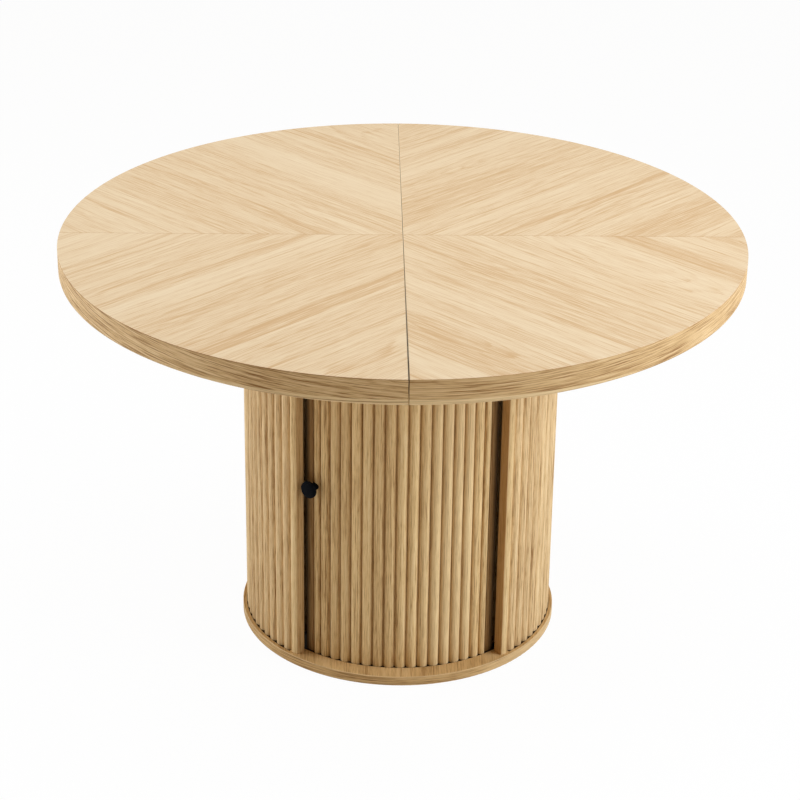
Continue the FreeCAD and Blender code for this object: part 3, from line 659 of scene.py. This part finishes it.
def plain(name, colour, roughness, metallic=0.0, grain=900.0, variation=0.12, relief=0.1, gloss=0.5):
    """Moulded, painted or metal surface: fine mottling in colour, roughness and relief."""
    material, tree = new_material(name)
    scaled = [tree.times(axis, grain) for axis in place(tree)]
    mottle = tree.noise(*scaled, MOTTLE_DETAIL, MOTTLE_ROUGHNESS)
    base = linear(*colour)
    darker = tuple(channel * (1 - variation) for channel in base[:3]) + (1.0,)
    lighter = tuple(min(1.0, channel * (1 + variation)) for channel in base[:3]) + (1.0,)
    bump = tree.add("ShaderNodeBump", {"Strength": relief, "Distance": PLAIN_BUMP, "Height": mottle})
    shader = tree.add("ShaderNodeBsdfPrincipled", {
        "Base Color": tree.mix(mottle, darker, lighter), "Metallic": metallic, "Specular IOR Level": gloss,
        "Roughness": tree.times_plus(mottle, MOTTLE_GLOSS_CHANGE, roughness - MOTTLE_GLOSS_CHANGE / 2),
        "Normal": bump.outputs[0],
    })
    tree.add("ShaderNodeOutputMaterial", {"Surface": shader.outputs[0]})
    return material


def paint(material, *names):
    for name in names:
        mesh = nodes[name].data
        mesh.materials.clear()
        mesh.materials.append(material)


def dress_tabletop():
    """Veneers and boards of the tabletop."""
    paint(top_veneer(), *[name for name in nodes if name.startswith("top_veneer")])
    left = top_edge_oak(
        "oak_edge_left", LEFT_EDGE_FIGURE, seed=2.0, tilt=0.07, joint_strength=0.75, line_strength=0.8,
    )
    paint(left, "top_edge_band_left")
    right = top_edge_oak(
        "oak_edge_right", RIGHT_EDGE_FIGURE, seed=9.0, tilt=-0.02, joint_strength=0.15, line_strength=0.2,
    )
    paint(right, "top_edge_band_right")
    paint(flat_oak("oak_under", Y, X, seed=8.0), "under_board_left", "under_board_right")
    core = plain("core_board", (178, 150, 112), roughness=0.8, grain=400.0, variation=0.3)
    paint(core, "top_slab_left", "top_slab_right")


def dress_pedestal():
    """Slats, posts, backing and boards of the pedestal."""
    paint(base_edge_oak("oak_base_edge", BASE_TOP / 2, BASE_TOP, seed=14.0), "base_edge_band")
    paint(base_edge_oak("oak_plate_edge", LIP_BOTTOM, LIP_BOTTOM, seed=18.0), "top_plate_edge_band")
    shell = upright_oak("oak_shell", DRUM_RADIUS, DRUM_COLOURS, seed=3.0)
    paint(shell, "shell_slats_left", "shell_slats_back", "shell_slats_right")
    post = upright_oak("oak_post", DRUM_RADIUS, POST_COLOURS, seed=4.0, shade=shade_posts, depth_share=1.0)
    paint(post, "post_left", "post_right")
    backing = upright_oak("oak_backing", DRUM_RADIUS, BOARD_COLOURS, seed=17.0)
    paint(backing, "shell_panel_left", "shell_panel_back", "shell_panel_right", "door_backing")
    paint(backing, "rear_upright_left", "rear_upright_right")
    paint(flat_oak("oak_base", Y, X, seed=11.0, groove_under=BASE_TOP), "base_plate")
    paint(flat_oak("oak_plate", Y, X, seed=12.0), "top_plate")
    paint(flat_oak("oak_side", Z, Y, seed=13.0), "side_panel_left", "side_panel_right")
    paint(flat_oak("oak_back", Z, X, seed=15.0), "back_panel")
    paint(flat_oak("oak_shelf", X, Y, seed=16.0), "shelf")


def dress_door():
    """Slats, stiles and knob of the door. Its backing is dressed with the shell's."""
    paint(upright_oak("oak_door", DOOR_RADIUS, DOOR_COLOURS, seed=6.0, shade=shade_door), "door_slats")
    stile = upright_oak("oak_stile", DOOR_RADIUS, STILE_COLOURS, seed=7.0, shade=shade_stiles)
    paint(stile, "door_leading_stile", "door_trailing_stile")
    paint(plain("black_knob", (8, 9, 13), roughness=0.85, gloss=0.06), "knob")


def dress_hardware():
    """Fasteners, dowels, tracks, stops and pads."""
    steel = plain("zinc_steel", (178, 180, 184), roughness=0.35, metallic=1.0)
    paint(steel, "joining_plates", "joining_screws", "pedestal_bolts", "base_screws")
    paint(steel, "top_plate_screws", "knob_screw", "shelf_pins")
    paint(plain("brass", (190, 150, 80), roughness=0.35, metallic=1.0), "threaded_inserts")
    paint(plain("beech", (214, 178, 132), roughness=0.6), "seam_dowels")
    paint(plain("rubber", (38, 37, 36), roughness=0.7), "closed_stop", "open_stop")
    nylon = plain("nylon", (58, 52, 46), roughness=0.5)
    paint(nylon, "lower_track", "upper_track", "door_lower_glides", "door_upper_guides")
    paint(plain("felt", (92, 82, 72), roughness=0.95, grain=1500.0, variation=0.35), "floor_pads")


def add_piece(name, mesh, material):
    """Object of a finished bmesh that rides on the table."""
    bmesh.ops.recalc_face_normals(mesh, faces=mesh.faces)
    data = bpy.data.meshes.new(name)
    mesh.to_mesh(data)
    mesh.free()
    data.shade_smooth()
    data.set_sharp_from_angle(angle=SMOOTH_LIMIT)
    data.materials.append(material)
    piece = bpy.data.objects.new(name, data)
    bpy.context.scene.collection.objects.link(piece)
    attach(piece, "table")


def half_ring(outline, side):
    """Outline of radius and height swept round one half of the table, and cut flat at the seam."""
    mesh = bmesh.new()
    rings = []
    for step in range(RIM_STEPS + 1):
        ring = []
        for radius, height in outline:
            start = math.asin(SEAM_HALF_GAP / radius)
            angle = start + (math.pi - 2 * start) * step / RIM_STEPS
            spot = (side * radius * math.sin(angle), -radius * math.cos(angle), height)
            ring.append(mesh.verts.new(spot))
        rings.append(ring)
    count = len(outline)
    for near, far in zip(rings, rings[1:]):
        for index in range(count):
            following = (index + 1) % count
            mesh.faces.new((near[index], near[following], far[following], far[index]))
    mesh.faces.new(rings[0])
    mesh.faces.new(rings[-1])
    return mesh


def lip_outline():
    """Thin strip down the side of the lower board and round its lower edge, as radius and height."""
    corners = [vertex.co for vertex in nodes["under_board_right"].data.vertices]
    flat = max(corner.xy.length for corner in corners if corner.z < LIP_BOTTOM + UNDERSIDE_TOLERANCE)
    bend_radius = LIP_RADIUS - flat
    centre_height = LIP_BOTTOM + bend_radius

    def bend(reach):
        turns = [math.pi / 2 * step / LIP_ROUND_STEPS for step in range(LIP_ROUND_STEPS + 1)]
        return [(flat + reach * math.cos(turn), centre_height - reach * math.sin(turn)) for turn in turns]

    outside = bend(bend_radius + LIP_VENEER)
    inside = bend(bend_radius - LIP_VENEER_LAP)
    return [(outside[0][0], LIP_TOP)] + outside + inside[::-1] + [(inside[0][0], LIP_TOP)]


def seam_facing(side):
    """Veneer on the inner face of one half, thicker to the rear, where a hook closes the seam."""
    rear = TOP_RADIUS - SEAM_END_SETBACK
    hook = rear - SEAM_CLOSED_LENGTH
    plan = [(SEAM_HALF_GAP, rear), (SEAM_HALF_GAP, -rear)]
    for step in range(SEAM_STEPS + 1):
        share = step / SEAM_STEPS
        half_gap = (SEAM_HALF_GAP - SEAM_DROP) * math.exp(-SEAM_TAPER * share)
        plan.append((half_gap, -rear + (hook + rear) * share))
    closed = half_gap * SEAM_CLOSED_SHARE
    plan += [(closed, hook), (closed, rear)]
    mesh = bmesh.new()
    foot = mesh.faces.new([mesh.verts.new((side * x, y, LIP_BOTTOM + SEAM_DROP)) for x, y in plan])
    risen = bmesh.ops.extrude_face_region(mesh, geom=[foot])["geom"]
    top = [item for item in risen if isinstance(item, bmesh.types.BMVert)]
    bmesh.ops.translate(mesh, verts=top, vec=(0, 0, TABLE_TOP - LIP_BOTTOM - 2 * SEAM_DROP))
    return mesh


def trim():
    """Thin veneers of the tabletop: the bent strip at its lower edge and the facing of its seam."""
    seam = seam_oak()
    for name, side in (("left", -1), ("right", 1)):
        edge = nodes[f"top_edge_band_{name}"].data.materials[0]
        add_piece(f"lip_veneer_{name}", half_ring(lip_outline(), side), edge)
        add_piece(f"seam_veneer_{name}", seam_facing(side), seam)


def camera():
    data = bpy.data.cameras.new("camera")
    data.sensor_width = SENSOR_WIDTH
    data.lens = CAMERA_LENS
    eye = bpy.data.objects.new("camera", data)
    bpy.context.scene.collection.objects.link(eye)
    turned = Matrix.Rotation(math.radians(CAMERA_AZIMUTH), 4, "Z")
    spot = turned @ Matrix.Translation((0, -CAMERA_DISTANCE, CAMERA_HEIGHT))
    tilt = Matrix.Rotation(math.radians(90 - CAMERA_PITCH), 4, "X")
    pan = Matrix.Rotation(math.radians(CAMERA_PAN), 4, "Y")
    eye.matrix_world = spot @ tilt @ pan @ Matrix.Rotation(math.radians(CAMERA_ROLL), 4, "Z")
    bpy.context.scene.camera = eye


def lamp(name, spot, aim, size, power):
    data = bpy.data.lights.new(name, "AREA")
    data.shape = "RECTANGLE"
    data.size, data.size_y = size
    data.energy = power
    data.color = LAMP_COLOUR
    lamp_object = bpy.data.objects.new(name, data)
    lamp_object.location = spot
    lamp_object.rotation_euler = (Vector(aim) - Vector(spot)).to_track_quat("-Z", "Y").to_euler()
    bpy.context.scene.collection.objects.link(lamp_object)


def seen(tree):
    """1 on rays that show the background: from the camera, or by gloss or glass."""
    path = tree.add("ShaderNodeLightPath").outputs
    glints = tree.math("MAXIMUM", path["Is Glossy Ray"], path["Is Transmission Ray"])
    return tree.math("MAXIMUM", path["Is Camera Ray"], glints)


def sky():
    """Warm, weak light from all round, which shows as white."""
    world = bpy.data.worlds.new("studio")
    world.use_nodes = True
    bpy.context.scene.world = world
    tree = Tree(world.node_tree)
    shown = seen(tree)
    strength = tree.spread(shown, 0.0, 1.0, FILL_STRENGTH, 1.0)
    colour = tree.mix(shown, FILL_COLOUR, WHITE)
    background = tree.add("ShaderNodeBackground", {"Color": colour, "Strength": strength})
    tree.add("ShaderNodeOutputWorld", {"Surface": background.outputs[0]})


def ground():
    bpy.ops.mesh.primitive_circle_add(vertices=FLOOR_CORNERS, radius=FLOOR_RADIUS, fill_type="NGON")
    floor = bpy.context.object
    floor.name = "floor"
    material, tree = new_material("floor")
    shade = tree.add("ShaderNodeBsdfDiffuse", {"Color": FLOOR_COLOUR})
    glow = tree.add("ShaderNodeEmission", {"Color": WHITE, "Strength": 1.0})
    cover = tree.times(seen(tree), FLOOR_WHITE_SHARE)
    blend = tree.add("ShaderNodeMixShader", {0: cover, 1: shade.outputs[0], 2: glow.outputs[0]})
    tree.add("ShaderNodeOutputMaterial", {"Surface": blend.outputs[0]})
    floor.data.materials.append(material)


dress_tabletop()
dress_pedestal()
dress_door()
dress_hardware()
trim()
camera()
for lamp_name, settings in LAMPS.items():
    lamp(lamp_name, **settings)
sky()
ground()
bpy.context.scene.view_settings.view_transform = "Standard"
